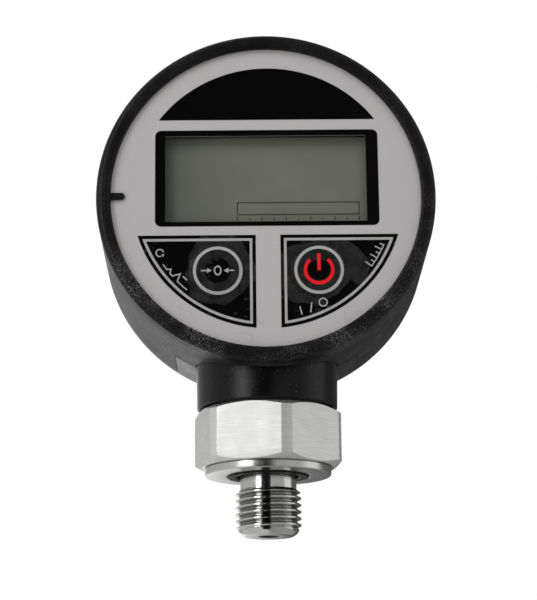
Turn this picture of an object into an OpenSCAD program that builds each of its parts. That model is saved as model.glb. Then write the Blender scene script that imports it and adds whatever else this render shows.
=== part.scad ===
// Digital pressure gauge: a round rubber-booted head with a liquid crystal
// display and two membrane keys, turning on a steel stem with a hexagon and
// a G 1/4 male thread.
//
// Millimetres. +Z runs up the stem, the display faces -Y, and the origin is on
// the stem's axis in the plane of the sealing face under the flange.

/* [Process connection] */
// Major diameter of the male thread
thread_d = 13.157; // [12.9:0.001:13.2]
// Pitch of the thread
thread_pitch = 1.337; // [1.2:0.001:1.5]
// Length of the threaded end below the sealing face
stem_len = 12; // [11:0.5:14]
// Diameter of the undercut between thread and flange
undercut_d = 11.3; // [11:0.1:11.6]
// Diameter of the pressure port
port_d = 3.5; // [2:0.5:5]
// Diameter of the turned flange
flange_d = 25.3; // [24:0.1:26.5]
// Height of the turned flange
flange_h = 1.6; // [1:0.1:2]
// Width across the flats of the hexagon
hex_af = 27; // [26:0.5:28]
// Diameter of the round bar that the hexagon is milled from
hex_bar_d = 30; // [29:0.5:31]
// Height of the hexagon
hex_h = 11.5; // [10:0.5:13]
// Turn of the hexagon's front flat about the stem, in degrees
hex_turn = -16; // [-30:1:30]
// Outer diameter of the profile seal
seal_d = 16.6; // [16:0.1:18]

/* [Swivel] */
// Diameter of the round spigot that carries the head
spigot_d = 20; // [19:0.5:21]
// Radial running clearance between spigot and neck
swivel_gap = 0.08; // [0.05:0.01:0.1]
// Height at which the neck ends inside the case
neck_top = 27; // [26.5:0.5:28]

/* [Boot] */
// Height of the head's centre above the sealing face
head_z = 53; // [52:0.5:55]
// Diameter of the boot at its front edge
boot_front_d = 67; // [66:0.5:68]
// Diameter of the boot at its back edge
boot_back_d = 68; // [67:0.5:70]
// Distance of the boot's front plane from the stem's axis
boot_front = 19.6; // [19:0.1:21]
// Distance of the boot's back plane from the stem's axis
boot_back = 16.2; // [15.5:0.1:17]
// Diameter of the opening in the boot's front lip
lip_d = 61.2; // [60:0.1:61.6]
// Outer diameter of the collar round the neck
collar_d = 28.6; // [28:0.1:29.2]
// Half the width of the collar's saddle behind the neck
saddle_half = 18.5; // [17:0.5:20]

/* [Display] */
// Width of the display window
window_w = 39.7; // [38:0.1:40.5]
// Height of the display window
window_h = 17.7; // [16:0.1:18.5]
// Height of the window's centre above the head's centre
window_rise = 3.6; // [3:0.1:4]

/* [Keys] */
// Distance between the centres of the two keys
key_pitch = 19.8; // [18:0.1:21]
// Distance of the keys below the head's centre
key_drop = 15.2; // [14.5:0.1:16]
// Diameter of an embossed key
key_d = 10.6; // [10:0.1:11.2]
// Travel of a key
key_travel = 0.3; // [0.2:0.05:0.4]

/* [Hidden] */
$fn = 96;

eps = 0.01;             // overlap that keeps a cut clean

// thread
crest_flat = 0.27;      // width of a crest
root_flat = 0.2;        // width of a root
thread_depth = 0.83;    // radial depth of the thread
thread_top = -2.9;      // where the thread starts below the undercut
chamfer = 1.1;          // height of the chamfer on the end of the stem
chamfer_in = 0.35;      // how far that chamfer goes in
thread_lead_in = 0.4;   // first crest below the thread's start
thread_r = thread_d / 2;

// hexagon and spigot
hex_top = flange_h + hex_h;
chamfer_r = 13.35;      // radius at which the hexagon's chamfers start
chamfer_angle = 30;
ball_r = (chamfer_r + hex_bar_d / 2) / 2 / sin(chamfer_angle);   // the chamfers are slightly domed
ball_rise = sqrt(ball_r ^ 2 - chamfer_r ^ 2);
spigot_r = spigot_d / 2;
spigot_top = 31.5;

// profile seal, in its groove in the sealing face
seal_groove_depth = 1.2;
seal_h = 1.5;
seal_r_in = undercut_d / 2 + 0.35;

// sensor capsule and its pocket
sensor_r = 7.5;
sensor_floor = 3.4;
sensor_h = 10;
sensor_seat = sensor_floor + 0.6;   // step that the sensor rests on
sensor_top = sensor_seat + sensor_h;
clamp_bore_r = 7.9;     // threaded upper part of the pocket
clamp_h = 3.5;
diaphragm_r = 5.5;
sensor_groove_z = 3;    // height of its seal's groove
sensor_groove_h = 1.7;
sensor_groove_depth = 1.15;
sensor_cord_r = 0.55;   // half the thickness of its seal
pin_circle_r = 4.2;     // five glass-sealed contact pins
clamp_slot_w = 1.6;     // key slots in the clamp ring
clamp_slot_depth = 1.2;
clamp_hole_r = 5.4;

// swivel
washer_h = 0.5;
neck_r = spigot_r + swivel_gap;
neck_outer_r = 13.4;
neck_bottom = hex_top + washer_h + 0.1;
circlip_h = 1.2;
circlip_z = neck_top + 0.1;
circlip_groove_r = 9.2;
circlip_gap = 4;        // opening between the circlip's ends
circlip_r = 10.9;
pin_r = 0.7;
pin_z = 29.8;
pin_reach = 11.85;      // how far the stop pin's tip is from the stem's axis
pin_start = 8.2;        // how far its other end is
stop_half_angle = 10;   // half the angle that the stop rib covers
stop_r = [11.15, 11.95];
o_ring_z = 18;
o_ring_r = 0.6;         // half the cord's thickness
o_ring_groove_r = spigot_r - 1.25;
washer_r = 12.8;

// boot
boot_edge_r = 1.5;      // rounding of the front edge
boot_rear_edge_r = 1;   // rounding of the back edge
boot_rear_lip_r = 27.6; // opening in the back of the boot
rear_lip_t = 1.6;
slit_gap = 0.15;        // slit between the boot and the collar's saddle
saddle_top = 33;        // height at which the gap in the boot's back lip ends
lip_back = -18.4;       // back of the front lip
case_r = 31;
fit_gap = 0.1;          // between parts that are slid together
collar_inner_r = neck_outer_r + fit_gap;
collar_bottom = neck_bottom - 0.3;
index_w = 1.4;          // width of the index tongue on the left of the lip
index_tip = 27.8;       // distance of the tongue's tip from the centre
index_root = lip_d / 2 + 0.6;
collar_taper = 0.4;     // the collar's lower end is narrower by this much

// case
label_front = -18.3;
label_t = 0.2;
case_front = label_front + label_t;
case_wall = 2;
case_inner_r = case_r - case_wall;
front_wall_back = case_front + case_wall;
case_back = 14;

// display stack, front to back
lens_t = 1.2;
lens_border = 2.4;      // how far the lens reaches past the window
lcd_front = -16.0;
glass_t = 1.1;
polarizer_t = 0.2;
glass_w = 44;
glass_h = 21;
front_glass_h = glass_h - 2.5;      // the rear glass carries the contacts above and below it
frame_w = 1.5;
zebra_h = 1.6;
polarizer_w = window_w + 0.6;
polarizer_h = window_h + 0.6;
rear_polarizer_h = polarizer_h - 1.4;
board_front = -12.5;
board_t = 1.6;
board_back = board_front + board_t;
board_r = 27.5;
board_bottom = 33;
boss_r = 2.6;           // bosses behind the front wall that hold the board
board_pilot_r = 0.8;
board_screw_r = 1.9;    // head of a board screw, and the width of its cross recess
board_recess = 2.4;
screw_spots = [[-17.5, 19.5], [17.5, 19.5], [-21, -15], [21, -15]];
// packages on the back of the board: [x, height above centre, width, height, thickness]
chips = [
    [-9, 6, 10, 10, 1.4], [7, 4, 7, 7, 1.2], [15, -6, 5, 4, 1.5],
    [-18, -4, 3.2, 8, 1.6], [4, 16, 5, 6, 1.5]
];

socket_size = [9, 4.2, 3.4];
socket_z = board_bottom + 4.5;

// keys and their switches
key_x = key_pitch / 2;
key_r = key_d / 2;
key_spots = [[-key_x, -key_drop], [key_x, -key_drop]];
key_proud = 0.2;        // how far an embossed key stands off the label
key_t = 0.7;
plunger_r = 1.6;
plunger_back = -16.7;   // where a key's plunger meets its switch
switch_front = -16.0;
switch_w = 6;
switch_cavity_r = 2.4;
switch_lid = 0.6;       // front wall of a switch
actuator_r = 1.6;
dome_t = 0.25;
dome_front = switch_front + 1.75;

// rear cover and battery bay
cover_front = 12;
cover_r = 28.8;
post_r = 3.6;
post_front = 3;
gasket_y = 13;          // depth of the gasket in the cover's edge
gasket_r = 0.48;        // half its thickness
pilot_r = 1;            // pilot holes for the cover and door screws
screw_shank_r = 0.95;
screw_head_r = 2;
screw_hole_r = 1.35;
post_circle_r = 25.6;   // circle of the rear screws
post_spots = [for (a = [45 : 90 : 315]) post_circle_r * [cos(a), sin(a)]];
bay_w = 47.6;
bay_h = 21.6;
bay_front = 0.3;
bay_wall = 1;
door_ledge = 0.8;
door_t = 1.4;
door_ear = 5;           // height of the screw ear on the door's upper edge
door_screw_spot = [0, bay_h / 2 + 2.6];
cell_r = 5.2;
cell_len = 43.7;
cell_y = 6.2;
cell_x = -0.6;          // where the middle of a cell lies
cell_rise = cell_r + 0.1;
nub_r = 1.9;
nub_len = 0.8;
plate_size = [0.4, 9, 8.4];
spring_seat = 0.7;      // where a contact spring starts, from the bay's end wall
spring_len = bay_w / 2 + cell_x - cell_len / 2 - 1;

function arc(cx, cy, r, from, to, n = 6) =
    [for (i = [0 : n]) let (a = from + (to - from) * i / n) [cx + r * cos(a), cy + r * sin(a)]];
function unit(v) = v / norm(v);

// A round wire along a path, as one closed skin
module wire(path, r, sides, away) {
    n = len(path);
    function along(i) = unit(path[min(i + 1, n - 1)] - path[max(i - 1, 0)]);
    rings = [for (i = [0 : n - 1])
        let (t = along(i), u = unit(cross(t, away)), v = cross(t, u))
        for (j = [0 : sides - 1]) path[i] + r * (cos(360 * j / sides) * u + sin(360 * j / sides) * v)];
    skin = [for (i = [0 : n - 2]) for (j = [0 : sides - 1])
        let (a = i * sides + j, b = i * sides + (j + 1) % sides)
        each [[a, a + sides, b], [b, a + sides, b + sides]]];
    caps = [[for (j = [0 : sides - 1]) j], [for (j = [sides - 1 : -1 : 0]) (n - 1) * sides + j]];
    polyhedron(points = rings, faces = concat(skin, caps));
}

// A disc, or with an inner radius a ring, about the head's axis
module disc(r, from, to, inner = 0) {
    translate([0, to, head_z]) rotate([90, 0, 0])
        difference() {
            cylinder(r = r, h = to - from);
            if (inner > 0) translate([0, 0, -1]) cylinder(r = inner, h = to - from + 2);
        }
}

// A plate parallel to the display, drawn with x across and y up from the head's centre
module plate(from, to) {
    translate([0, to, head_z]) rotate([90, 0, 0]) linear_extrude(to - from) children();
}

// A solid of revolution about the head's axis, from [radius, depth] points
module about_head(profile) {
    translate([0, 0, head_z]) rotate([-90, 0, 0]) rotate_extrude() polygon(profile);
}

// A round peg along the head's axis at [x, height above centre]
module peg(spot, r, from, to) {
    translate([spot[0], to, head_z + spot[1]]) rotate([90, 0, 0]) cylinder(r = r, h = to - from);
}

module ring(r, inner, from, to) {
    translate([0, 0, from]) difference() {
        cylinder(r = r, h = to - from);
        translate([0, 0, -1]) cylinder(r = inner, h = to - from + 2);
    }
}

module rounded_rect(w, h, r) {
    square([w - 2 * r, h], center = true);
    square([w, h - 2 * r], center = true);
    for (x = [-1, 1], y = [-1, 1]) translate([x * (w / 2 - r), y * (h / 2 - r)]) circle(r);
}

// ---------------------------------------------------------------- stem

function thread_profile() =
    let (
        first = thread_top - thread_lead_in,
        crests = floor((stem_len - chamfer + first) / thread_pitch),
        flank = (thread_pitch - crest_flat - root_flat) / 2
    )
    [for (k = [0 : crests]) let (z = first - k * thread_pitch)
        each [[thread_r - thread_depth, z + flank], [thread_r, z],
              [thread_r, z - crest_flat], [thread_r - thread_depth, z - crest_flat - flank]]];

module process_connection() {
    color([0.78, 0.78, 0.77]) difference() {
        union() {
            rotate_extrude() polygon(concat(
                [[0, 0.5], [undercut_d / 2, 0.5], [undercut_d / 2, thread_top + 0.3]],
                thread_profile(),
                [[thread_r - thread_depth, -stem_len + chamfer],
                 [thread_r - thread_depth - chamfer_in, -stem_len], [0, -stem_len]]));
            cylinder(d = flange_d, h = flange_h + eps);
            translate([0, 0, flange_h]) intersection() {
                rotate([0, 0, hex_turn]) cylinder(d = hex_af / cos(30), h = hex_h, $fn = 6);
                cylinder(d = hex_bar_d, h = hex_h);
                translate([0, 0, ball_rise]) sphere(r = ball_r, $fn = 192);
                translate([0, 0, hex_h - ball_rise]) sphere(r = ball_r, $fn = 192);
            }
            cylinder(r = spigot_r, h = spigot_top);
        }
        translate([0, 0, -stem_len - 1]) cylinder(d = port_d, h = stem_len + sensor_floor + 2);
        translate([0, 0, sensor_floor]) cylinder(r = diaphragm_r, h = 5);
        translate([0, 0, sensor_seat]) cylinder(r = sensor_r + 0.05, h = spigot_top);
        translate([0, 0, sensor_top + 0.1]) cylinder(r = clamp_bore_r, h = spigot_top);
        translate([0, 0, -eps]) ring(seal_d / 2, undercut_d / 2, -1, seal_groove_depth + eps);
        ring(spigot_r + 1, circlip_groove_r, circlip_z - 0.1, circlip_z + circlip_h + 0.1);
        ring(spigot_r + 1, o_ring_groove_r, o_ring_z - 1.5 * o_ring_r, o_ring_z + 1.5 * o_ring_r);
        translate([0, 0, pin_z]) rotate([90, 0, 0]) cylinder(r = pin_r, h = spigot_r + 1);
    }
}

module profile_seal() {
    color([0.06, 0.06, 0.06])
        rotate_extrude() polygon([
            [seal_r_in, seal_groove_depth], [seal_d / 2 - 0.05, seal_groove_depth],
            [seal_d / 2 - 0.05, seal_groove_depth - seal_h + 0.15],
            [seal_d / 2 - 0.2, seal_groove_depth - seal_h],
            [seal_r_in + 0.6, seal_groove_depth - seal_h], [seal_r_in, seal_groove_depth - seal_h + 0.4]]);
}

module pressure_sensor() {
    color([0.82, 0.82, 0.8]) difference() {
        union() {
            translate([0, 0, sensor_seat]) cylinder(r = sensor_r, h = sensor_h);
            for (a = [0 : 72 : 288]) rotate([0, 0, a])
                translate([pin_circle_r, 0, sensor_top - eps]) cylinder(r = 0.25, h = 2.4);
        }
        translate([0, 0, sensor_seat + sensor_groove_z])
            ring(sensor_r + 1, sensor_r - sensor_groove_depth, 0, sensor_groove_h);
        translate([0, 0, sensor_seat - 1]) cylinder(r = diaphragm_r - 0.6, h = 1.3);
    }
}

module sensor_o_ring() {
    color([0.1, 0.1, 0.1]) translate([0, 0, sensor_seat + sensor_groove_z + sensor_groove_h / 2])
        rotate_extrude() translate([sensor_r - sensor_cord_r - 0.03, 0]) circle(r = sensor_cord_r);
}

module sensor_clamp_ring() {
    color([0.72, 0.72, 0.7]) difference() {
        ring(clamp_bore_r - 0.05, clamp_hole_r, sensor_top + 0.1, sensor_top + 0.1 + clamp_h);
        for (a = [0, 90]) rotate([0, 0, a])
            translate([-10, -clamp_slot_w / 2, sensor_top + clamp_h - clamp_slot_depth])
                cube([20, clamp_slot_w, 3]);
    }
}

module thrust_washer() {
    color([0.2, 0.2, 0.2]) ring(washer_r, spigot_r + fit_gap, hex_top, hex_top + washer_h);
}

module swivel_o_ring() {
    color([0.1, 0.1, 0.1]) translate([0, 0, o_ring_z])
        rotate_extrude() translate([spigot_r - o_ring_r, 0]) circle(r = o_ring_r);
}

module swivel_circlip() {
    color([0.35, 0.35, 0.37]) difference() {
        ring(circlip_r, circlip_groove_r + 0.05, circlip_z, circlip_z + circlip_h);
        translate([-circlip_gap / 2, circlip_groove_r - 1, circlip_z - 1])
            cube([circlip_gap, 5, circlip_h + 2]);
    }
}

module stop_pin() {
    color([0.6, 0.6, 0.62]) translate([0, -pin_start, pin_z]) rotate([90, 0, 0])
        cylinder(r = pin_r, h = pin_reach - pin_start);
}

// ---------------------------------------------------------------- boot and collar

// Radius of the boot's tapered wall at a depth behind the stem's axis
function boot_r(y) = let (y0 = -boot_front + boot_edge_r, y1 = boot_back - boot_rear_edge_r)
    boot_front_d / 2 + (boot_back_d - boot_front_d) / 2 * (y - y0) / (y1 - y0);

// Back edge and rear lip, which the boot and the collar's saddle share
function boot_back_profile() = concat(
    arc(boot_back_d / 2 - boot_rear_edge_r, boot_back - boot_rear_edge_r, boot_rear_edge_r, 0, 90),
    [[boot_rear_lip_r, boot_back], [boot_rear_lip_r, boot_back - rear_lip_t],
     [case_r + fit_gap, boot_back - rear_lip_t]]);

module boot() {
    color([0.13, 0.13, 0.13]) difference() {
        union() {
            about_head(concat(
                arc(lip_d / 2 + 0.5, -boot_front + 0.5, 0.5, 180, 270, 4),
                arc(boot_front_d / 2 - boot_edge_r, -boot_front + boot_edge_r, boot_edge_r, 270, 360),
                boot_back_profile(),
                [[case_r + fit_gap, lip_back], [lip_d / 2, lip_back]]));
            plate(-boot_front + 0.5, lip_back) {
                translate([-index_root, -index_w / 2])
                    square([index_root - index_tip - index_w / 2, index_w]);
                translate([-index_tip - index_w / 2, 0]) circle(d = index_w);
            }
        }
        cylinder(d = collar_d + 0.2, h = 30);
        translate([-saddle_half - 0.1, 0, 0]) cube([2 * saddle_half + 0.2, 30, saddle_top]);
    }
}

module neck_collar() {
    color([0.15, 0.15, 0.15]) difference() {
        union() {
            intersection() {
                translate([0, 0, collar_bottom])
                    cylinder(d1 = collar_d - collar_taper, d2 = collar_d, h = 14);
                translate([-20, -20, 0]) cube([40, 40, 26]);
            }
            intersection() {
                translate([-saddle_half, slit_gap, 0]) cube([2 * saddle_half, boot_back, saddle_top]);
                about_head(concat([[case_r + fit_gap, 0], [boot_r(0), 0]], boot_back_profile()));
            }
        }
        disc(case_r + fit_gap, -40, boot_back - rear_lip_t);
        translate([0, 0, 10]) cylinder(r = collar_inner_r, h = 30);
    }
}

// ---------------------------------------------------------------- case

module case_body() {
    color([0.2, 0.2, 0.21]) difference() {
        union() {
            difference() {
                disc(case_r, case_front, case_back);
                disc(case_inner_r, front_wall_back, case_back + 1);
            }
            for (spot = screw_spots) peg(spot, boss_r, front_wall_back - eps, board_front);
            for (spot = post_spots) intersection() {
                peg(spot, post_r, post_front, cover_front);
                disc(case_r - 1, 0, case_back);
            }
            translate([0, 0, neck_bottom]) cylinder(r = neck_outer_r, h = neck_top - neck_bottom);
            stop_rib();
        }
        translate([0, 0, neck_bottom - 1]) cylinder(r = neck_r, h = 30);
        disc(case_inner_r, cover_front, case_back + 1);
        plate(case_front - 1, case_front + lens_t) translate([0, window_rise])
            rounded_rect(window_w + 2 * lens_border, window_h + 2 * lens_border, 1);
        plate(case_front - 1, 0) translate([0, window_rise])
            square([window_w + 1, window_h + 1], center = true);
        for (spot = key_spots) {
            peg(spot, key_r + fit_gap, case_front - 1, case_front + key_t + key_travel);
            peg(spot, plunger_r + 0.3, case_front - 1, 0);
        }
        for (spot = screw_spots) peg(spot, board_pilot_r, board_front - 3, board_front + 1);
        for (spot = post_spots) peg(spot, pilot_r, cover_front - 8, cover_front + 1);
    }
}

// The rib behind the spigot that the stop pin meets at each end of the turn
module stop_rib() {
    intersection() {
        ring(stop_r[1], stop_r[0], neck_top - eps, pin_z + pin_r);
        linear_extrude(40) polygon([[0, 0], 20 * [sin(-stop_half_angle), cos(stop_half_angle)],
                                    20 * [sin(stop_half_angle), cos(stop_half_angle)]]);
    }
}

module label_overlay() {
    color([0.66, 0.66, 0.65]) difference() {
        disc(case_r - fit_gap, label_front, case_front);
        plate(label_front - 1, case_front + 1) translate([0, window_rise])
            square([window_w, window_h], center = true);
        for (spot = key_spots) peg(spot, key_r + fit_gap, label_front - 1, case_front + 1);
    }
}

module window_lens() {
    color([0.8, 0.82, 0.8, 0.4]) plate(case_front, case_front + lens_t - 0.05)
        translate([0, window_rise])
            rounded_rect(window_w + 2 * lens_border - 0.2, window_h + 2 * lens_border - 0.2, 0.9);
}

// ---------------------------------------------------------------- display

module lcd_glass() {
    color([0.45, 0.47, 0.43, 0.8]) {
        plate(lcd_front, lcd_front + glass_t - 0.05)
            translate([0, window_rise]) square([glass_w, front_glass_h], center = true);
        plate(lcd_front + glass_t, lcd_front + 2 * glass_t)
            translate([0, window_rise]) square([glass_w, glass_h], center = true);
    }
}

module lcd_polarizers() {
    films = [[lcd_front - polarizer_t, polarizer_h], [lcd_front + 2 * glass_t, rear_polarizer_h]];
    color([0.4, 0.41, 0.37]) for (film = films) plate(film[0], film[0] + polarizer_t)
        translate([0, window_rise]) square([polarizer_w, film[1]], center = true);
}

module lcd_frame() {
    color([0.12, 0.12, 0.12]) plate(lcd_front, board_front) translate([0, window_rise]) difference() {
        square([glass_w + 2 * frame_w, glass_h + 2 * frame_w], center = true);
        square([glass_w + 0.2, glass_h + 0.2], center = true);
    }
}

module lcd_reflector() {
    color([0.85, 0.86, 0.82]) plate(lcd_front + 2 * glass_t + polarizer_t + 0.05, board_front - 0.1)
        translate([0, window_rise]) square([glass_w - 2, glass_h - 6], center = true);
}

module zebra_strips() {
    color([0.9, 0.6, 0.6]) for (side = [-1, 1]) plate(lcd_front + 2 * glass_t, board_front)
        translate([0, window_rise + side * (glass_h / 2 - 1.1)])
            square([glass_w - 4, zebra_h], center = true);
}

module main_board() {
    color([0.1, 0.35, 0.2]) difference() {
        disc(board_r, board_front, board_back);
        translate([-40, board_front - 1, 0]) cube([80, board_t + 2, board_bottom]);
        for (spot = screw_spots) peg(spot, 1.1, board_front - 1, board_back + 1);
    }
}

module board_chips() {
    color([0.09, 0.09, 0.1]) for (c = chips) plate(board_back, board_back + c[4])
        translate([c[0], c[1]]) square([c[2], c[3]], center = true);
}

module board_screws() {
    color([0.7, 0.7, 0.7]) for (spot = screw_spots) difference() {
        union() {
            peg(spot, board_pilot_r - 0.05, board_front - 2.8, board_back + eps);
            peg(spot, board_screw_r, board_back, board_back + 1.3);
        }
        for (w = [[board_recess, 0.5], [0.5, board_recess]]) plate(board_back + 0.7, board_back + 2)
            translate(spot) square(w, center = true);
    }
}

module switch_housings() {
    color([0.15, 0.15, 0.16]) for (spot = key_spots) difference() {
        plate(switch_front, board_front) translate(spot) square(switch_w, center = true);
        peg(spot, switch_cavity_r, switch_front + switch_lid, board_front - 1.2);
        peg(spot, actuator_r + fit_gap, switch_front - 1, switch_front + 1);
    }
}

module sensor_socket() {
    color([0.93, 0.92, 0.88]) plate(board_back, board_back + socket_size[2])
        translate([0, socket_z - head_z]) square([socket_size[0], socket_size[1]], center = true);
}

// The sensor's lead rises on the stem's axis, then turns to its socket on the board
function sensor_route() = concat(
    [for (z = [sensor_top + 3 : 2 : 33]) [0, 0, z]],
    [for (a = [15 : 15 : 75]) [0, -3 * (1 - cos(a)), 34 + 3 * sin(a)]],
    [for (y = [-3, -5, -7.4]) [0, y, 37]]);

module sensor_lead() {
    color([0.75, 0.2, 0.15]) wire(sensor_route(), 0.9, 12, [1, 0, 0]);
}

// Two leads from the battery contacts to the board
function battery_route(side) =
    [for (t = [0 : 0.125 : 1]) [
        side * (bay_w / 2 + 1.9 - 3.4 * t * t), bay_front + 4 - (bay_front + 4 - board_back - 1) * t,
        head_z - 6 - 3 * sin(180 * t)]];

module battery_leads() {
    for (side = [-1, 1]) color(side < 0 ? [0.1, 0.1, 0.1] : [0.7, 0.1, 0.1])
        wire(battery_route(side), 0.45, 8, [0, 0, 1]);
}

// ---------------------------------------------------------------- keys

module key_pad(side) {
    spot = [side * key_x, -key_drop];
    color([0.07, 0.07, 0.07]) {
        peg(spot, key_r, label_front - key_proud, case_front + key_t - 0.05);
        peg(spot, plunger_r, case_front + key_t - 0.06, plunger_back);
    }
}

module key_actuator(side) {
    spot = [side * key_x, -key_drop];
    color([0.9, 0.88, 0.8]) {
        peg(spot, actuator_r, plunger_back, switch_front + 0.75);
        peg(spot, actuator_r + 0.5, switch_front + 0.7, switch_front + 1.3);
    }
}

module key_dome(side) {
    spot = [side * key_x, -key_drop];
    color([0.8, 0.8, 0.78]) peg(spot, switch_cavity_r - 0.05, dome_front, dome_front + dome_t);
}

module key_zero() { key_pad(-1); }
module key_power() { key_pad(1); }
module actuator_zero() { key_actuator(-1); }
module actuator_power() { key_actuator(1); }
module dome_zero() { key_dome(-1); }
module dome_power() { key_dome(1); }

// ---------------------------------------------------------------- rear

module door_outline(grow = 0) {
    rounded_rect(bay_w + 2 * door_ledge + 2 * grow, bay_h + 2 * door_ledge + 2 * grow, 2 + grow);
    translate([0, bay_h / 2]) rounded_rect(9 + 2 * grow, 2 * door_ear + 2 * grow, 2.5 + grow);
}

module rear_cover() {
    color([0.17, 0.17, 0.18]) difference() {
        union() {
            disc(cover_r, cover_front, case_back);
            plate(bay_front - bay_wall, cover_front + eps)
                square([bay_w + 2 * bay_wall, bay_h + 2 * bay_wall], center = true);
            peg(door_screw_spot, 2.4, cover_front - 4, cover_front + eps);
        }
        plate(bay_front, case_back + 1) square([bay_w, bay_h], center = true);
        plate(case_back - door_t - 0.05, case_back + 1) door_outline(0.1);
        peg(door_screw_spot, pilot_r, cover_front - 3, case_back);
        disc(cover_r + 1, gasket_y - 0.5, gasket_y + 0.5, cover_r - 0.9);
        for (spot = post_spots) {
            peg(spot, screw_hole_r, cover_front - 1, case_back + 1);
            peg(spot, screw_head_r + fit_gap, case_back - 0.9, case_back + 1);
        }
        for (side = [-1, 1]) plate(bay_front + 2, bay_front + 8)
            translate([side * (bay_w / 2 + 0.5), -6]) square([2, 1.4], center = true);
    }
}

module rear_gasket() {
    color([0.1, 0.1, 0.1]) about_head([for (a = [0 : 30 : 330])
        [cover_r - 0.37 + gasket_r * cos(a), gasket_y + gasket_r * sin(a)]]);
}

// A cross-recessed screw from its tip to the top of its head
module screw(spot, head_h, tip, top) {
    recess = screw_head_r * 1.2;
    difference() {
        union() {
            peg(spot, screw_shank_r, tip, top);
            peg(spot, screw_head_r, top - head_h, top);
        }
        for (w = [[recess, 0.5], [0.5, recess]]) plate(top - 0.5, top + 1)
            translate(spot) square(w, center = true);
    }
}

module rear_screws() {
    color([0.65, 0.65, 0.66]) for (spot = post_spots)
        screw(spot, 0.85, cover_front - 7, case_back - 0.05);
}

module battery_door() {
    color([0.19, 0.19, 0.2]) difference() {
        plate(case_back - door_t, case_back) door_outline();
        peg(door_screw_spot, 1.2, 0, case_back + 1);
        peg(door_screw_spot, screw_head_r + fit_gap, case_back - 0.8, case_back + 1);
        for (x = [-9 : 3 : 9]) plate(case_back - 0.5, case_back + 1)
            translate([x, -bay_h / 2 + 3.4]) square([1.2, 3.6], center = true);
    }
}

module door_screw() {
    color([0.65, 0.65, 0.66]) screw(door_screw_spot, 0.75, cover_front - 2.8, case_back - 0.05);
}

// A cell points its nub right in the upper row and left in the lower one
module battery_cell(side) {
    color([0.25, 0.35, 0.5]) translate([side * cell_x, cell_y, head_z + side * cell_rise])
        rotate([0, 90 * side, 0]) {
            translate([0, 0, -cell_len / 2]) cylinder(r = cell_r, h = cell_len);
            translate([0, 0, cell_len / 2 - eps]) cylinder(r = nub_r, h = nub_len);
        }
}

module battery_upper() { battery_cell(1); }
module battery_lower() { battery_cell(-1); }

// A coil that narrows from its seat towards the cell
function coil(turns, r0, r1, length) = [for (i = [0 : turns * 12])
    let (t = i / (turns * 12), r = r0 + (r1 - r0) * t, a = 360 * turns * t)
    [length * t, r * cos(a), r * sin(a)]];

module contact_springs() {
    color([0.75, 0.75, 0.73]) for (side = [-1, 1])
        translate([side * (-bay_w / 2 + spring_seat), cell_y, head_z + side * cell_rise])
            rotate([0, 90 - 90 * side, 0]) wire(coil(3, 3.4, 1.8, spring_len), 0.2, 8, [1, 0, 0]);
}

module contact_plates() {
    color([0.8, 0.8, 0.78])
        for (end = [-1, 1], row = [-1, 1])
            translate([end * (bay_w / 2 - 0.25), cell_y, head_z + row * cell_rise])
                cube(plate_size, center = true);
}

process_connection();
profile_seal();
pressure_sensor();
sensor_o_ring();
sensor_clamp_ring();
thrust_washer();
swivel_o_ring();
swivel_circlip();
stop_pin();
boot();
neck_collar();
case_body();
label_overlay();
window_lens();
lcd_glass();
lcd_polarizers();
lcd_frame();
lcd_reflector();
zebra_strips();
main_board();
board_chips();
board_screws();
switch_housings();
sensor_socket();
sensor_lead();
battery_leads();
rear_cover();
rear_gasket();
rear_screws();
battery_door();
door_screw();
battery_upper();
battery_lower();
contact_springs();
contact_plates();
key_zero();
key_power();
actuator_zero();
actuator_power();
dome_zero();
dome_power();
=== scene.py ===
import math

import bmesh
import bpy
from mathutils import Matrix, Vector
from mathutils.geometry import tessellate_polygon


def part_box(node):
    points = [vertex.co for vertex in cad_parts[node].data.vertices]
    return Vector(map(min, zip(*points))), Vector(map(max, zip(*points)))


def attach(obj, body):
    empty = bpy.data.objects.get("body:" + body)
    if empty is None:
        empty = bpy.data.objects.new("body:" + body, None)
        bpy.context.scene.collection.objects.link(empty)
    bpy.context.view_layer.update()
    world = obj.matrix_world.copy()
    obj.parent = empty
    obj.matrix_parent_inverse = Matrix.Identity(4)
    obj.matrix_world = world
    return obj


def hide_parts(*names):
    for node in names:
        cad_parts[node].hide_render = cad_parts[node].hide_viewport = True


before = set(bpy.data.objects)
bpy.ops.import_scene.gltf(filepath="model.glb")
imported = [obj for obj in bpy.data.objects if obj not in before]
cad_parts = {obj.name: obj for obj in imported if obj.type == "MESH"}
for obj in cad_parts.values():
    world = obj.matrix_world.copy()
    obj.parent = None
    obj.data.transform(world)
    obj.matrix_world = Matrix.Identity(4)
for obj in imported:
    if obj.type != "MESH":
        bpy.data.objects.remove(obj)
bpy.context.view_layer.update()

# The visual model of a digital pressure gauge. Sizes below are in millimetres and
# angles in degrees; MM turns a size into Blender's metres.
MM = 0.001


def reach(node, axis, side):
    """How far a CAD node reaches along an axis, in millimetres. side 0 is its low end and 1 its high end."""
    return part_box(node)[side][axis] / MM


X, Y, Z = 0, 1, 2
LOW, HIGH = 0, 1

# ------------------------------------------------------------------ sizes

HEAD_Z = reach("boot", Z, HIGH) - 34
BOOT_FRONT = reach("boot", Y, LOW)
BOOT_BACK = reach("boot", Y, HIGH)
BOOT_FRONT_R = 33.5
BOOT_BACK_R = reach("boot", X, HIGH)
LIP_R = 30.6
LIP_BACK = -18.4
REAR_LIP_R = 27.6
REAR_LIP_T = 1.6
CASE_R = reach("case_body", X, HIGH)
LABEL_FRONT = reach("label_overlay", Y, LOW)
WINDOW_W, WINDOW_H, WINDOW_RISE = 39.7, 17.7, 3.6
GRAPHICS_X = 0.3        # the print sits a little right of the head's centre

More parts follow.
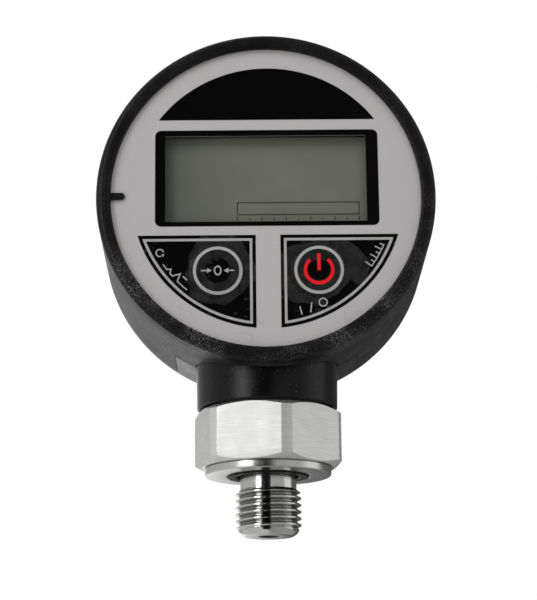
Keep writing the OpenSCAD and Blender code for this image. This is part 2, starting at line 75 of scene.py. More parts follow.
COLLAR_TOP_R, COLLAR_BOTTOM_R = 14.3, 14.1
COLLAR_BOTTOM = reach("neck_collar", Z, LOW)
COLLAR_BORE_R = 13.5
COLLAR_RISE = 12.6      # height of the collar's tapered wall
SADDLE_HALF = reach("neck_collar", X, HIGH)
SADDLE_FRONT = 0.32     # leaves the slit that shows in front of the saddle
SADDLE_TOP = 33

STEM_END = reach("process_connection", Z, LOW)
STEM_TOP = reach("process_connection", Z, HIGH)
THREAD_R, THREAD_DEPTH, PITCH = 6.5785, 0.84, 1.337
CREST_AT = -4.5         # height of a crest on the +X side
THREAD_BOTTOM, THREAD_START = -10.75, -2.75
END_R = 6.12            # radius of the plain band at the stem's end
UNDERCUT_R = 5.65
PORT_R = 1.75
GROOVE_R, GROOVE_DEPTH = 8.3, 0.75      # the seal's groove
RECESS_R, RECESS_FLOOR = 5.5, 3.4       # the space over the sensor's diaphragm
POCKET_R, POCKET_FLOOR = 7.55, 4        # the sensor's pocket
MOUTH_R, MOUTH_FLOOR = 7.9, 14.1        # the pocket's wider mouth
FLANGE_R, FLANGE_H = 12.65, 1.6
HEX_AF, HEX_BAR_R, HEX_TOP, HEX_TURN = 27, 15, 13.1, -16
CHAMFER_R = 13.35
SPIGOT_R = 10

KEY_X, KEY_Z = 9.9, HEAD_Z - 15.2
KEY_RING = 4.24, 4.86   # radii of the ring printed on a key
FIELD_R = 26.8          # radius of the printed fields round the keys
SIGN_LINE, SIGN_R = 0.25, 24.15         # the small signs' line width, and the radius they lie on
RED_LINE = 0.68         # line width of the on and off sign
KEY_R = reach("key_zero", X, HIGH) + KEY_X


# ------------------------------------------------------------------ mesh tools

def turn(angle):
    """Cosine and sine of an angle in degrees."""
    return math.cos(math.radians(angle)), math.sin(math.radians(angle))


def arc(centre, radius, start, end, steps=8):
    """Points on an arc, as (across, up) pairs."""
    spots = []
    for i in range(steps + 1):
        c, s = turn(start + (end - start) * i / steps)
        spots.append((centre[0] + radius * c, centre[1] + radius * s))
    return spots


def lathe(angles, section, closed=True):
    """Points and faces of a solid of (radius, height) sections, which may change with the angle."""
    rows = [section(a) for a in angles]
    count = len(rows[0])
    points = []
    for a, row in zip(angles, rows):
        c, s = turn(a)
        points += [(r * c, r * s, h) for r, h in row]
    faces = []
    for i in range(len(angles)):
        j = (i + 1) % len(angles)
        for k in range(count if closed else count - 1):
            m = (k + 1) % count
            faces.append((i * count + k, j * count + k, j * count + m, i * count + m))
    return points, faces


def even(count):
    return [360 * i / count for i in range(count)]


def about_head(points, x=0.0, z=None):
    """Lays a lathed solid on its side: its axis then runs along Y through (x, z)."""
    centre = HEAD_Z if z is None else z
    return [(x + p[0], p[2], centre + p[1]) for p in points]


def make(name, points, faces, looks, sharp=32, pick=None):
    """A mesh object in millimetres. looks is one material or several, and pick chooses each face's."""
    looks = looks if isinstance(looks, (list, tuple)) else [looks]
    mesh = bpy.data.meshes.new(name)
    mesh.from_pydata([tuple(MM * c for c in p) for p in points], [], faces)
    clean(mesh)
    for look in looks:
        mesh.materials.append(look)
    obj = bpy.data.objects.new(name, mesh)
    bpy.context.scene.collection.objects.link(obj)
    shade(obj, sharp)
    if pick:
        paint(obj, pick)
    return obj


def clean(mesh):
    """Joins doubled points, drops empty faces and turns every face outwards."""
    bm = bmesh.new()
    bm.from_mesh(mesh)
    bmesh.ops.remove_doubles(bm, verts=bm.verts, dist=2e-7)
    bmesh.ops.dissolve_degenerate(bm, edges=bm.edges, dist=1e-7)
    bmesh.ops.recalc_face_normals(bm, faces=bm.faces)
    bm.to_mesh(mesh)
    bm.free()


def shade(obj, sharp=32):
    """Smooth shading, with the edges above an angle left sharp."""
    for face in obj.data.polygons:
        face.use_smooth = True
    obj.data.set_sharp_from_angle(angle=math.radians(sharp))


def paint(obj, pick):
    """Gives each face the material that pick chooses for its centre."""
    for face in obj.data.polygons:
        face.material_index = pick(face.center / MM)


def block(low, high):
    """Points and faces of a box."""
    points = [(x, y, z) for x in (low[0], high[0]) for y in (low[1], high[1]) for z in (low[2], high[2])]
    faces = [(0, 1, 3, 2), (4, 6, 7, 5), (0, 4, 5, 1), (2, 3, 7, 6), (0, 2, 6, 4), (1, 5, 7, 3)]
    return points, faces


def combine(obj, tool, how):
    """Cuts, joins or intersects obj with a tool, which is then thrown away."""
    step = obj.modifiers.new("combine", "BOOLEAN")
    step.operation, step.solver, step.object = how, "EXACT", tool
    apply_steps(obj)
    bpy.data.objects.remove(tool)
    clean(obj.data)
    shade(obj)


def apply_steps(obj):
    """Turns an object's modifiers into plain mesh."""
    graph = bpy.context.evaluated_depsgraph_get()
    mesh = bpy.data.meshes.new_from_object(obj.evaluated_get(graph))
    obj.modifiers.clear()
    obj.data = mesh


def soften(obj, width, limit=35):
    """Rounds the edges that are sharper than limit."""
    step = obj.modifiers.new("soften", "BEVEL")
    step.width, step.segments, step.limit_method = width * MM, 2, "ANGLE"
    step.angle_limit = math.radians(limit)
    step.use_clamp_overlap = True
    apply_steps(obj)
    shade(obj)
    obj.modifiers.new("normals", "WEIGHTED_NORMAL").keep_sharp = True
    apply_steps(obj)


def settle(obj, body, slot, *nodes):
    """Gives a piece its body and hides the CAD nodes that it stands for. slot is not used."""
    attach(obj, body)
    if nodes:
        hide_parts(*nodes)


# ------------------------------------------------------------------ materials

def grey(level):
    return level, level, level


class Nodes:
    """Short calls for the nodes of a tree."""

    def __init__(self, tree):
        self.tree = tree

    def node(self, kind, **settings):
        made = self.tree.nodes.new(kind)
        for key, value in settings.items():
            setattr(made, key, value)
        return made

    def put(self, node, values):
        """Links or sets a node's inputs."""
        for key, value in values.items():
            if hasattr(value, "is_output"):
                self.tree.links.new(value, node.inputs[key])
            else:
                node.inputs[key].default_value = value

    def math(self, what, a, b=0.0):
        made = self.node("ShaderNodeMath", operation=what)
        self.put(made, {0: a, 1: b})
        return made.outputs[0]

    def length(self, a, b):
        return self.math("SQRT", self.math("ADD", self.math("MULTIPLY", a, a), self.math("MULTIPLY", b, b)))


class Look(Nodes):
    """A node material, built from a few calls. Every pattern is in object space, in millimetres."""

    def __init__(self, name, colour, rough, metallic=0.0, **sockets):
        self.material = bpy.data.materials.new(name)
        self.material.use_nodes = True
        super().__init__(self.material.node_tree)
        self.shader = self.tree.nodes["Principled BSDF"]
        self.put(self.shader, {"Base Color": (*colour, 1), "Roughness": rough, "Metallic": metallic})
        self.put(self.shader, sockets)
        self.place = self.node("ShaderNodeTexCoord").outputs["Object"]

    def spread(self, scale):
        """The place, multiplied along each axis: scale is the number of features per millimetre."""
        scale = scale if isinstance(scale, tuple) else (scale, scale, scale)
        made = self.node("ShaderNodeVectorMath", operation="MULTIPLY")
        self.put(made, {0: self.place, 1: tuple(s / MM for s in scale)})
        return made.outputs[0]

    def split(self):
        made = self.node("ShaderNodeSeparateXYZ")
        self.put(made, {0: self.place})
        return made.outputs

    def join(self, x, y, z):
        made = self.node("ShaderNodeCombineXYZ")
        self.put(made, {0: x, 1: y, 2: z})
        return made.outputs[0]

    def noise(self, where, detail=3.0, rough=0.55):
        made = self.node("ShaderNodeTexNoise")
        self.put(made, {"Vector": where, "Scale": 1.0, "Detail": detail, "Roughness": rough})
        return made.outputs["Fac"]

    def cells(self, where):
        made = self.node("ShaderNodeTexVoronoi", feature="F1")
        self.put(made, {"Vector": where, "Scale": 1.0})
        return made.outputs["Distance"]

    def fit(self, value, low, high, to_low=0.0, to_high=1.0):
        """Turns the range low to high into to_low to to_high, and holds what lies outside it."""
        made = self.node("ShaderNodeMapRange", clamp=True)
        self.put(made, {"Value": value, "From Min": low, "From Max": high})
        self.put(made, {"To Min": to_low, "To Max": to_high})
        return made.outputs["Result"]

    def blend(self, share, first, second):
        made = self.node("ShaderNodeMix", data_type="RGBA")
        self.put(made, {0: share, 6: self.rgba(first), 7: self.rgba(second)})
        return made.outputs[2]

    @staticmethod
    def rgba(colour):
        return (*colour, 1) if isinstance(colour, tuple) and len(colour) == 3 else colour

    def colour(self, value):
        self.put(self.shader, {"Base Color": value})

    def rough(self, value):
        self.put(self.shader, {"Roughness": value})

    def bump(self, height, depth):
        """Relief from a height of 0 to 1, depth millimetres deep. Later calls lie on top of earlier ones."""
        made = self.node("ShaderNodeBump")
        self.put(made, {"Height": height, "Distance": depth * MM, "Strength": 1.0})
        normal = self.shader.inputs["Normal"]
        if normal.is_linked:
            self.put(made, {"Normal": normal.links[0].from_socket})
        self.put(self.shader, {"Normal": made.outputs[0]})

    def round_the_head(self, along, across):
        """Coordinates round the head's axis: (along the rim, depth, radius), in features per millimetre."""
        x, y, z = self.split()
        up = self.math("SUBTRACT", z, HEAD_Z * MM)
        rim = self.math("MULTIPLY", self.math("ARCTAN2", up, x), BOOT_FRONT_R * along)
        depth = self.math("MULTIPLY", y, across / MM)
        return self.join(rim, depth, self.math("MULTIPLY", self.length(x, up), across / MM))

    def round_the_stem(self, along, across):
        """Coordinates round the stem: (along the wall, height), in features per millimetre."""
        x, y, z = self.split()
        wall = self.math("MULTIPLY", self.math("ARCTAN2", y, x), SPIGOT_R * along)
        return self.join(wall, self.math("MULTIPLY", z, across / MM), 0.0)


def boot_look():
    """Matt moulded rubber: nearly black, with pale specks in its grain that are painted glints, denser lower
    down, and scuffs that run round the wall.
    """
    look = Look("boot_rubber", grey(0.0015), 0.42, **{"Specular IOR Level": 0.2})
    _, depth, height = look.split()
    front = look.fit(depth, (BOOT_FRONT + 2) * MM, (BOOT_FRONT + 4) * MM)
    wall = look.math("MULTIPLY", front, look.fit(depth, (BOOT_BACK - 1) * MM, (BOOT_BACK - 3) * MM))
    grain = look.noise(look.spread(2.4), 3.0, 0.6)
    coarse = look.noise(look.spread(1.2), 4.0, 0.65)
    patches = look.noise(look.spread(0.07), 2.0)
    streaks = look.noise(look.round_the_head(0.26, 0.6), 6.0, 0.75)
    scuffs = look.math("MULTIPLY", look.fit(streaks, 0.46, 0.68), look.fit(patches, 0.36, 0.58))
    scuffs = look.math("MULTIPLY", scuffs, wall)
    # The pale specks below are painted glints of the rough rubber, made denser towards the bottom of the
    # head.
    pale_specks = look.fit(look.noise(look.spread(4.6), 2.0), 0.53, 0.68)
    glint_spread = look.fit(look.noise(look.spread(0.1), 3.0, 0.6), 0.42, 0.58, 0.12, 1.0)
    lower = look.fit(height, HEAD_Z * MM, (HEAD_Z - 20) * MM, 0.2, 1.0)
    glint_spread = look.math("MULTIPLY", glint_spread, lower)
    base = look.blend(scuffs, grey(0.0015), grey(0.032))
    look.colour(look.blend(look.math("MULTIPLY", pale_specks, glint_spread), base, grey(0.2)))
    look.rough(look.fit(streaks, 0.3, 0.7, 0.34, 0.5))
    look.put(look.shader, {"Specular IOR Level": look.fit(scuffs, 0, 1, 0.19, 0.6)})
    look.bump(coarse, 0.04)
    look.bump(grain, 0.05)
    look.bump(look.math("MULTIPLY", streaks, wall), 0.3)
    return look.material


def collar_look():
    """The same rubber, moulded smoother, with pale specks that are painted glints."""
    look = Look("collar_rubber", grey(0.003), 0.4, **{"Specular IOR Level": 0.26})
    grain = look.noise(look.spread(2.4), 3.0, 0.6)
    clouds = look.noise(look.spread(0.22), 4.0, 0.6)
    # The pale specks are painted glints.
    painted_glints = look.fit(look.cells(look.spread(1.0)), 0.15, 0.08)
    base = look.blend(look.fit(clouds, 0.45, 0.75), grey(0.001), grey(0.004))
    look.colour(look.blend(look.math("MULTIPLY", painted_glints, 0.3), base, grey(0.22)))
    look.rough(look.fit(clouds, 0.3, 0.7, 0.24, 0.36))
    look.bump(grain, 0.03)
    look.bump(clouds, 0.05)
    return look.material


def label_look():
    """Screen-printed polyester film: warm light grey, satin, with painted shade lines for a few creases
    round the keys.
    """
    look = Look("label_film", (0.40, 0.393, 0.391), 0.38, **{"Specular IOR Level": 0.4})
    tooth = look.noise(look.spread(9), 2.0)
    tone = look.noise(look.spread(0.05), 2.0)
    paper = look.blend(tone, (0.4, 0.391, 0.391), (0.43, 0.42, 0.419))
    folds = look.noise(look.spread((0.045, 0.045, 0.14)), 2.0)
    ridge = look.math("ABSOLUTE", look.math("SUBTRACT", folds, 0.5))
    near_keys = look.fit(look.split()[2], (KEY_Z + 9) * MM, (KEY_Z + 4) * MM)
    broken = look.fit(look.noise(look.spread(0.16), 1.0), 0.53, 0.6)
    shown = look.math("MULTIPLY", near_keys, broken)
    # The darker crease lines are painted shade in the folds of the film.
    crease_shade = look.math("MULTIPLY", look.fit(ridge, 0.012, 0.002), shown)
    look.colour(look.blend(look.math("MULTIPLY", crease_shade, 0.22), paper, (0.24, 0.235, 0.235)))
    look.rough(look.fit(tone, 0.3, 0.7, 0.34, 0.44))
    look.bump(tooth, 0.003)
    return look.material


def ink_look(name, colour, rough):
    """Printed ink under clear film, with the slight waves of the film."""
    look = Look(name, colour, rough, **{"Specular IOR Level": 0.5})
    waves = look.noise(look.spread(0.22), 2.0)
    look.colour(look.blend(look.fit(waves, 0.3, 0.7), colour, tuple(0.85 * c for c in colour)))
    look.rough(look.fit(waves, 0.3, 0.8, rough, rough + 0.06))
    look.bump(waves, 0.006)
    return look.material


def black_ink_look():
    """Glossy black print. The film stands off it in a patch round each key and in small bubbles, where a
    lighter grey is painted in as a painted sheen of the lifted film.
    """
    look = Look("black_ink", (0.0022, 0.0022, 0.0023), 0.12, **{"Specular IOR Level": 0.5})
    x, _, z = look.split()
    stray = 1.6 * MM
    wobble = look.fit(look.noise(look.spread(0.14), 1.0), 0.3, 0.7, -stray, stray)
    patches = []
    for side, wide, middle in ((-1, 1.0, 2.4), (1, 0.8, 1.9)):
        across = look.math("MULTIPLY", look.math("SUBTRACT", x, (side * KEY_X + GRAPHICS_X) * MM), wide)
        up = look.math("SUBTRACT", z, KEY_Z * MM)
        away = look.length(across, up)
        edge = look.math("ADD", away, wobble)
        inside = look.fit(edge, 6.9 * MM, 6.6 * MM)
        patches.append(look.math("MULTIPLY", inside, look.fit(away, middle * MM, (middle + 0.3) * MM)))
    patch = look.math("MAXIMUM", patches[0], patches[1])
    sheen_tone = look.noise(look.spread(0.5), 3.0)
    bubbles = look.fit(look.cells(look.spread((0.42, 0.42, 0.7))), 0.26, 0.22)
    where = look.fit(look.noise(look.spread(0.13)), 0.5, 0.56)
    low_down = look.fit(z, (KEY_Z + 8) * MM, (KEY_Z + 7) * MM)
    air = look.math("MULTIPLY", look.math("MULTIPLY", bubbles, where), low_down)
    air = look.math("MAXIMUM", look.math("MULTIPLY", air, 0.8), patch)
    # The lighter grey where the film stands off is a painted sheen of the lifted film.
    painted_sheen = look.blend(look.fit(sheen_tone, 0.35, 0.65), grey(0.009), grey(0.021))
    look.colour(look.blend(air, (0.0022, 0.0022, 0.0023), painted_sheen))
    look.rough(look.fit(air, 0, 1, 0.12, 0.2))
    look.bump(air, 0.01)
    look.bump(wobble, 0.003)
    return look.material


def display_look():
    """A reflective liquid crystal cell at rest: grey-green, satin, and darker at its left side, which is a
    painted shadow of the window's recess.
    """
    look = Look("display", (0.13, 0.13, 0.105), 0.5, **{"Specular IOR Level": 0.25})
    # The darker left side is a painted shadow of the window's recess.
    left = look.fit(look.split()[0], -20 * MM, -6 * MM)
    mottle = look.noise(look.spread(0.12), 3.0)
    grain = look.noise(look.spread(5), 2.0)
    pale_specks = look.fit(look.cells(look.spread(0.5)), 0.05, 0.02)
    base = look.blend(look.fit(mottle, 0.35, 0.7), (0.183, 0.171, 0.154), (0.203, 0.19, 0.172))
    base = look.blend(look.fit(grain, 0.2, 0.8, 0.0, 0.15), base, (0.135, 0.128, 0.117))
    base = look.blend(left, (0.122, 0.118, 0.115), base)
    look.colour(look.blend(look.math("MULTIPLY", pale_specks, 0.4), base, (0.25, 0.25, 0.225)))
    look.bump(grain, 0.001)
    return look.material


def segment_look():
    """Dark grey segments of the bar graph."""
    look = Look("display_segments", (0.025, 0.026, 0.024), 0.45)
    grain = look.noise(look.spread(4), 2.0)
    look.colour(look.blend(grain, (0.022, 0.023, 0.021), (0.034, 0.035, 0.033)))
    return look.material


def window_look():
    """Clear window: light goes straight through, and a little is reflected where it comes in."""
    look = Look("clear_window", grey(1), 0.06)
    clear = look.node("ShaderNodeBsdfTransparent")
    look.put(clear, {"Color": (0.93, 0.95, 0.93, 1)})
    gloss = look.node("ShaderNodeBsdfGlossy")
    haze = look.noise(look.spread(0.5), 4.0)
    look.put(gloss, {"Roughness": look.fit(haze, 0.3, 0.8, 0.04, 0.14)})
    fresnel = look.node("ShaderNodeFresnel")
    look.put(fresnel, {"IOR": 1.38})
    inside = look.node("ShaderNodeNewGeometry").outputs["Backfacing"]
    share = look.math("MULTIPLY", fresnel.outputs[0], look.math("SUBTRACT", 1.0, inside))
    mix = look.node("ShaderNodeMixShader")
    look.put(mix, {0: share, 1: clear.outputs[0], 2: gloss.outputs[0]})
    out = look.tree.nodes["Material Output"]
    look.put(out, {"Surface": mix.outputs[0]})
    return look.material


def milled_look():
    """Stainless steel as a face mill leaves it: fine crossed lines and a scatter of small pits."""
    look = Look("milled_steel", (0.66, 0.66, 0.655), 0.34, 1.0)
    lengthwise = look.noise(look.round_the_stem(0.25, 5.5), 3.0, 0.6)
    upright = look.noise(look.round_the_stem(5.5, 0.3), 3.0, 0.6)
    clouds = look.noise(look.spread(0.35), 4.0, 0.6)
    pits = look.fit(look.cells(look.spread(1.1)), 0.05, 0.02)
    tone = look.blend(look.fit(clouds, 0.3, 0.7), (0.68, 0.68, 0.676), (0.78, 0.78, 0.774))
    tone = look.blend(look.fit(lengthwise, 0.35, 0.65), tone, (0.86, 0.86, 0.852))
    look.colour(look.blend(look.math("MULTIPLY", pits, 0.5), tone, grey(0.2)))
    look.rough(look.fit(clouds, 0.3, 0.7, 0.5, 0.6))
    look.bump(lengthwise, 0.008)
    look.bump(upright, 0.006)
    return look.material


def shaded_bore_look():
    """The drilled port, its steel painted nearly black inside as painted shade."""
    # The near-black steel is painted shade inside the hole.
    look = Look("shaded_bore_steel", grey(0.05), 0.5, 1.0)
    rings = look.noise(look.round_the_stem(0.1, 5.0), 3.0)
    look.colour(look.blend(rings, grey(0.03), grey(0.08)))
    look.bump(rings, 0.004)
    return look.material


def turned_look():
    """Turned stainless steel: bright and ringed, duller on the flange, with painted shade in the thread's
    roots.
    """
    look = Look("turned_steel", (0.62, 0.62, 0.612), 0.16, 1.0)
    rings = look.noise(look.round_the_stem(0.1, 9.0), 3.0, 0.6)
    clouds = look.noise(look.spread(0.5), 4.0, 0.6)
    steel = look.blend(look.fit(clouds, 0.3, 0.7), (0.56, 0.56, 0.552), (0.68, 0.68, 0.67))
    x, y, z = look.split()
    # The thread's roots are painted darker: painted shade.
    root = look.fit(look.length(x, y), (THREAD_R - 0.28) * MM, (THREAD_R - THREAD_DEPTH + 0.05) * MM)
    below = look.fit(z, (THREAD_START - 0.1) * MM, (THREAD_START - 0.3) * MM)
    above = look.fit(z, THREAD_BOTTOM * MM, (THREAD_BOTTOM + 0.4) * MM)
    root_shade = look.math("MULTIPLY", look.math("MULTIPLY", root, below), above)
    look.colour(look.blend(look.math("MULTIPLY", root_shade, 0.6), steel, grey(0.05)))
    dull = look.fit(z, -0.6 * MM, -0.4 * MM, 0.0, 0.13)
    look.rough(look.math("ADD", look.fit(clouds, 0.25, 0.75, 0.08, 0.17), dull))
    look.bump(rings, 0.0025)
    return look.material


def plastic_look(name, colour, rough=0.5, erosion=0.02):
    """Moulded plastic with a fine spark-eroded surface."""
    look = Look(name, colour, rough)
    grain = look.noise(look.spread(5), 3.0)
    clouds = look.noise(look.spread(0.2), 3.0)
    paler = tuple(min(1, 1.25 * c + 0.004) for c in colour)
    look.colour(look.blend(look.fit(clouds, 0.3, 0.7), colour, paler))
    look.rough(look.fit(clouds, 0.3, 0.7, rough - 0.06, rough + 0.06))
    look.bump(grain, erosion)
    return look.material


def metal_look(name, colour, rough=0.25):
    """Plated metal: fine scratches and a little tarnish."""
    look = Look(name, colour, rough, 1.0)
    scratches = look.noise(look.spread((0.6, 7, 2.5)), 3.0)
    tarnish = look.noise(look.spread(0.8), 4.0)
    look.colour(look.blend(look.fit(tarnish, 0.4, 0.75), colour, tuple(0.7 * c for c in colour)))
    look.rough(look.fit(tarnish, 0.3, 0.7, rough, rough + 0.15))
    look.bump(scratches, 0.003)
    return look.material


def rubber_look(name, colour, rough=0.4, shine=0.5):
    """Smooth moulded rubber."""
    look = Look(name, colour, rough, **{"Specular IOR Level": shine})
    clouds = look.noise(look.spread(0.8), 4.0)
    look.colour(look.blend(clouds, colour, tuple(1.8 * c + 0.004 for c in colour)))
    look.rough(look.fit(clouds, 0.3, 0.7, rough - 0.08, rough + 0.08))
    look.bump(clouds, 0.01)
    return look.material


BOOT = boot_look()
COLLAR = collar_look()
LABEL = label_look()
BLACK_INK = black_ink_look()
GREY_INK = ink_look("grey_ink", (0.36, 0.36, 0.355), 0.3)
RED_INK = ink_look("red_ink", (0.76, 0.006, 0.012), 0.3)
DISPLAY = display_look()
SEGMENTS = segment_look()
WINDOW = window_look()
MILLED = milled_look()
TURNED = turned_look()
SHADED_BORE = shaded_bore_look()
SEAL = rubber_look("seal_rubber", grey(0.002), 0.45, 0.12)
CASE = plastic_look("case_plastic", (0.018, 0.018, 0.019))
DOOR = plastic_look("door_plastic", (0.022, 0.022, 0.023), 0.55)
WHITE_PLASTIC = plastic_look("white_plastic", (0.72, 0.7, 0.64), 0.4, 0.004)
BOARD = plastic_look("board_resist", (0.012, 0.11, 0.045), 0.3, 0.006)
RESIN = plastic_look("chip_resin", (0.02, 0.02, 0.021), 0.45, 0.012)
JACKET = plastic_look("cell_jacket", (0.06, 0.13, 0.24), 0.3, 0.003)
WIRE = plastic_look("wire_jacket", (0.4, 0.02, 0.015), 0.35, 0.003)
STRIPED = rubber_look("zebra_rubber", (0.5, 0.22, 0.2))
ZINC = metal_look("zinc_plate", (0.62, 0.63, 0.64), 0.22)
NICKEL = metal_look("nickel_plate", (0.72, 0.7, 0.65), 0.18)
BLACK_STEEL = metal_look("phosphated_steel", (0.12, 0.12, 0.125), 0.4)
SENSOR = metal_look("sensor_steel", (0.66, 0.66, 0.65), 0.2)

# The thrust washer gets the black resin look so the gap between collar and hexagon shows dark: painted
# shade.
NODE_LOOKS = {
    "pressure_sensor": SENSOR, "sensor_o_ring": SEAL, "sensor_clamp_ring": SENSOR,
    "thrust_washer": RESIN, "swivel_o_ring": SEAL, "swivel_circlip": BLACK_STEEL,
    "stop_pin": BLACK_STEEL, "case_body": CASE, "label_overlay": LABEL, "window_lens": WINDOW,
    "lcd_glass": DISPLAY, "lcd_polarizers": DISPLAY, "lcd_frame": CASE, "lcd_reflector": WHITE_PLASTIC,
    "zebra_strips": STRIPED, "main_board": BOARD, "board_chips": RESIN, "board_screws": ZINC,
    "switch_housings": RESIN, "sensor_socket": WHITE_PLASTIC, "sensor_lead": WIRE, "battery_leads": WIRE,
    "rear_cover": CASE, "rear_gasket": SEAL, "rear_screws": ZINC, "battery_door": DOOR, "door_screw": ZINC,
    "battery_upper": JACKET, "battery_lower": JACKET, "contact_springs": NICKEL, "contact_plates": NICKEL,
    "actuator_zero": WHITE_PLASTIC, "actuator_power": WHITE_PLASTIC,
    "dome_zero": NICKEL, "dome_power": NICKEL,
}


def dress_cad_nodes():
    """Gives every CAD node that stays its material."""
    for name, look in NODE_LOOKS.items():
        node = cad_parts[name]
        node.data.materials.clear()
        node.data.materials.append(look)


# ------------------------------------------------------------------ stem

def hex_reach(angle):
    """Distance from the stem's axis to the hexagon's side. Its corners are round and its edges eased."""
    off = (angle - HEX_TURN - 90) % 60
    flat = HEX_AF / 2 / math.cos(math.radians(off - 60 if off > 30 else off))
    ease = 0.02
    return (flat + HEX_BAR_R) / 2 - math.sqrt(((flat - HEX_BAR_R) / 2) ** 2 + ease ** 2)


def hex_angles():
    """Angles round the stem, close together at the edges between the flats and the round corners."""
    half = math.degrees(math.acos(HEX_AF / 2 / HEX_BAR_R))
    one = [0, 4, 8, 12, 16, 20, 23, 24.6]
    one += [half + d for d in (-0.6, -0.4, -0.25, -0.15, -0.07, 0, 0.07, 0.15, 0.25, 0.4, 0.6)]
    one += [28, 30]
    one = sorted(set(round(a, 3) for a in one))
    side = one + [60 - a for a in reversed(one[1:-1])]
    return [HEX_TURN + 90 + 60 * k + a for k in range(6) for a in side]


def thread_wave(height, angle):
    """Radius of the thread at a height and an angle, for a right-hand G 1/4 helix."""
    phase = ((height - CREST_AT) / PITCH - angle / 360) % 1
    off = min(phase, 1 - phase) * PITCH
    share = min(1, max(0, (off - 0.1) / (PITCH / 2 - 0.2)))
    smooth = share * share * (3 - 2 * share)
    return THREAD_R - THREAD_DEPTH * (0.55 * smooth + 0.45 * share)


def between(value, low, high):
    return min(1, max(0, (value - low) / (high - low)))


def thread_limit(height, radius):
    """Runs the thread out into the chamfer at its top and the plain band at its end."""
    top = UNDERCUT_R + 1.3 * max(0, THREAD_START - height)
    root = THREAD_R - THREAD_DEPTH
    floor = END_R - (END_R - root) * between(height, THREAD_BOTTOM, THREAD_BOTTOM + 0.5)
    ceiling = END_R + (THREAD_R + 0.1 - END_R) * between(height, THREAD_BOTTOM, THREAD_BOTTOM + 0.45)
    return min(top, ceiling, max(radius, floor))


def thread_section(angle):
    """The thread's wall from bottom to top, with 26 points in each turn."""
    count = round((THREAD_START - THREAD_BOTTOM) / PITCH * 26)
    heights = [THREAD_BOTTOM + (THREAD_START - THREAD_BOTTOM) * i / count for i in range(count + 1)]
    return [(thread_limit(h, thread_wave(h, angle)), h) for h in heights]


def stem_section(angle):
    """The stem's closed section at an angle: port, end, thread, flange, hexagon, spigot and pocket."""
    side = hex_reach(angle)
    rise = (side - CHAMFER_R) * math.tan(math.radians(30))
    low, high = FLANGE_H + rise, HEX_TOP - rise
    section = [(PORT_R, RECESS_FLOOR), (PORT_R, STEM_END + 0.4), (PORT_R + 0.35, STEM_END)]
    section += arc((4.85, STEM_END + 0.25), 0.25, 270, 300, 2)
    section += [(5.45, STEM_END + 0.32), (5.8, STEM_END + 0.62), (6.02, STEM_END + 0.95)]
    section += thread_section(angle)
    section += [(UNDERCUT_R, THREAD_START + 0.1), (UNDERCUT_R, GROOVE_DEPTH), (GROOVE_R, GROOVE_DEPTH)]
    section += [(GROOVE_R, 0.06), (GROOVE_R + 0.06, 0)]
    section += arc((FLANGE_R - 0.35, 0.35), 0.35, 270, 360, 5)
    section += [(FLANGE_R, FLANGE_H - 0.2), (FLANGE_R - 0.25, FLANGE_H - 0.02), (FLANGE_R - 0.25, FLANGE_H)]
    section += [(CHAMFER_R - 0.15, FLANGE_H), (CHAMFER_R, FLANGE_H + 0.03)]
    section += [(side - 0.06, low - 0.035), (side - 0.015, low + 0.02), (side, low + 0.09)]
    section += [(side, low + (high - low) * k / 6) for k in range(1, 6)]
    section += [(side, high - 0.09), (side - 0.015, high - 0.02), (side - 0.06, high + 0.035)]
    section += [(CHAMFER_R, HEX_TOP - 0.03), (CHAMFER_R - 0.15, HEX_TOP)]
    section += [(SPIGOT_R, HEX_TOP), (SPIGOT_R, STEM_TOP), (MOUTH_R, STEM_TOP)]
    section += [(MOUTH_R, MOUTH_FLOOR), (POCKET_R, MOUTH_FLOOR), (POCKET_R, POCKET_FLOOR)]
    section += [(RECESS_R, POCKET_FLOOR), (RECESS_R, RECESS_FLOOR)]
    return section


def stem_finish(centre):
    """Which of the stem's looks a face has: 1 on the hexagon, 2 in the port, and 0 where it is turned."""
    radius = centre.xy.length
    if radius < PORT_R + 0.35:
        return 2
    return 1 if FLANGE_H < centre.z < HEX_TOP + 0.01 and radius > SPIGOT_R + 1 else 0


def make_stem():
    points, faces = lathe(hex_angles(), stem_section)
    stem = make("stem", points, faces, [TURNED, MILLED, SHADED_BORE], sharp=24, pick=stem_finish)
    settle(stem, "stem", "stainless_steel", "process_connection")


def make_seal():
    """The profile seal, with its lip towards the mating face."""
    profile = [(6.0, 0.7)] + arc((6.55, 0.1), 0.4, 180, 270, 4) + [(7.2, -0.28), (7.45, -0.3)]
    profile += arc((7.85, 0.08), 0.38, 270, 360, 5) + [(8.23, 0.7)]
    points, faces = lathe(even(160), lambda angle: profile)
    seal = make("seal", points, faces, SEAL, sharp=40)
    settle(seal, "stem", "black_seal", "profile_seal")


# ------------------------------------------------------------------ boot and collar

def wall_r(depth):
    """Radius of the boot's tapered wall."""
    share = between(depth, BOOT_FRONT + 1.5, BOOT_BACK - 1)
    return BOOT_FRONT_R + (BOOT_BACK_R - BOOT_FRONT_R) * share


def boot_wall(first, last, steps):
    return [(wall_r(y), y) for y in (first + (last - first) * i / steps for i in range(steps + 1))]


def back_edge():
    """The boot's back edge and rear lip, which the collar's saddle shares."""
    edge = arc((BOOT_BACK_R - 1, BOOT_BACK - 1), 1, 0, 90, 6)
    edge += [(REAR_LIP_R + 0.4, BOOT_BACK)] + arc((REAR_LIP_R + 0.3, BOOT_BACK - 0.3), 0.3, 90, 180, 3)
    edge += [(REAR_LIP_R, BOOT_BACK - REAR_LIP_T), (CASE_R + 0.1, BOOT_BACK - REAR_LIP_T)]
    return edge


def boot_profile():
    profile = arc((LIP_R + 0.5, BOOT_FRONT + 0.55), 0.5, 180, 265, 5)
    profile += arc((BOOT_FRONT_R - 1.35, BOOT_FRONT + 1.35), 1.35, 274, 356, 9)
    profile += boot_wall(BOOT_FRONT + 1.7, BOOT_BACK - 1.2, 14)
    profile += back_edge()
    profile += [(CASE_R + 0.1, 0), (CASE_R + 0.1, LIP_BACK), (LIP_R, LIP_BACK)]
    return profile


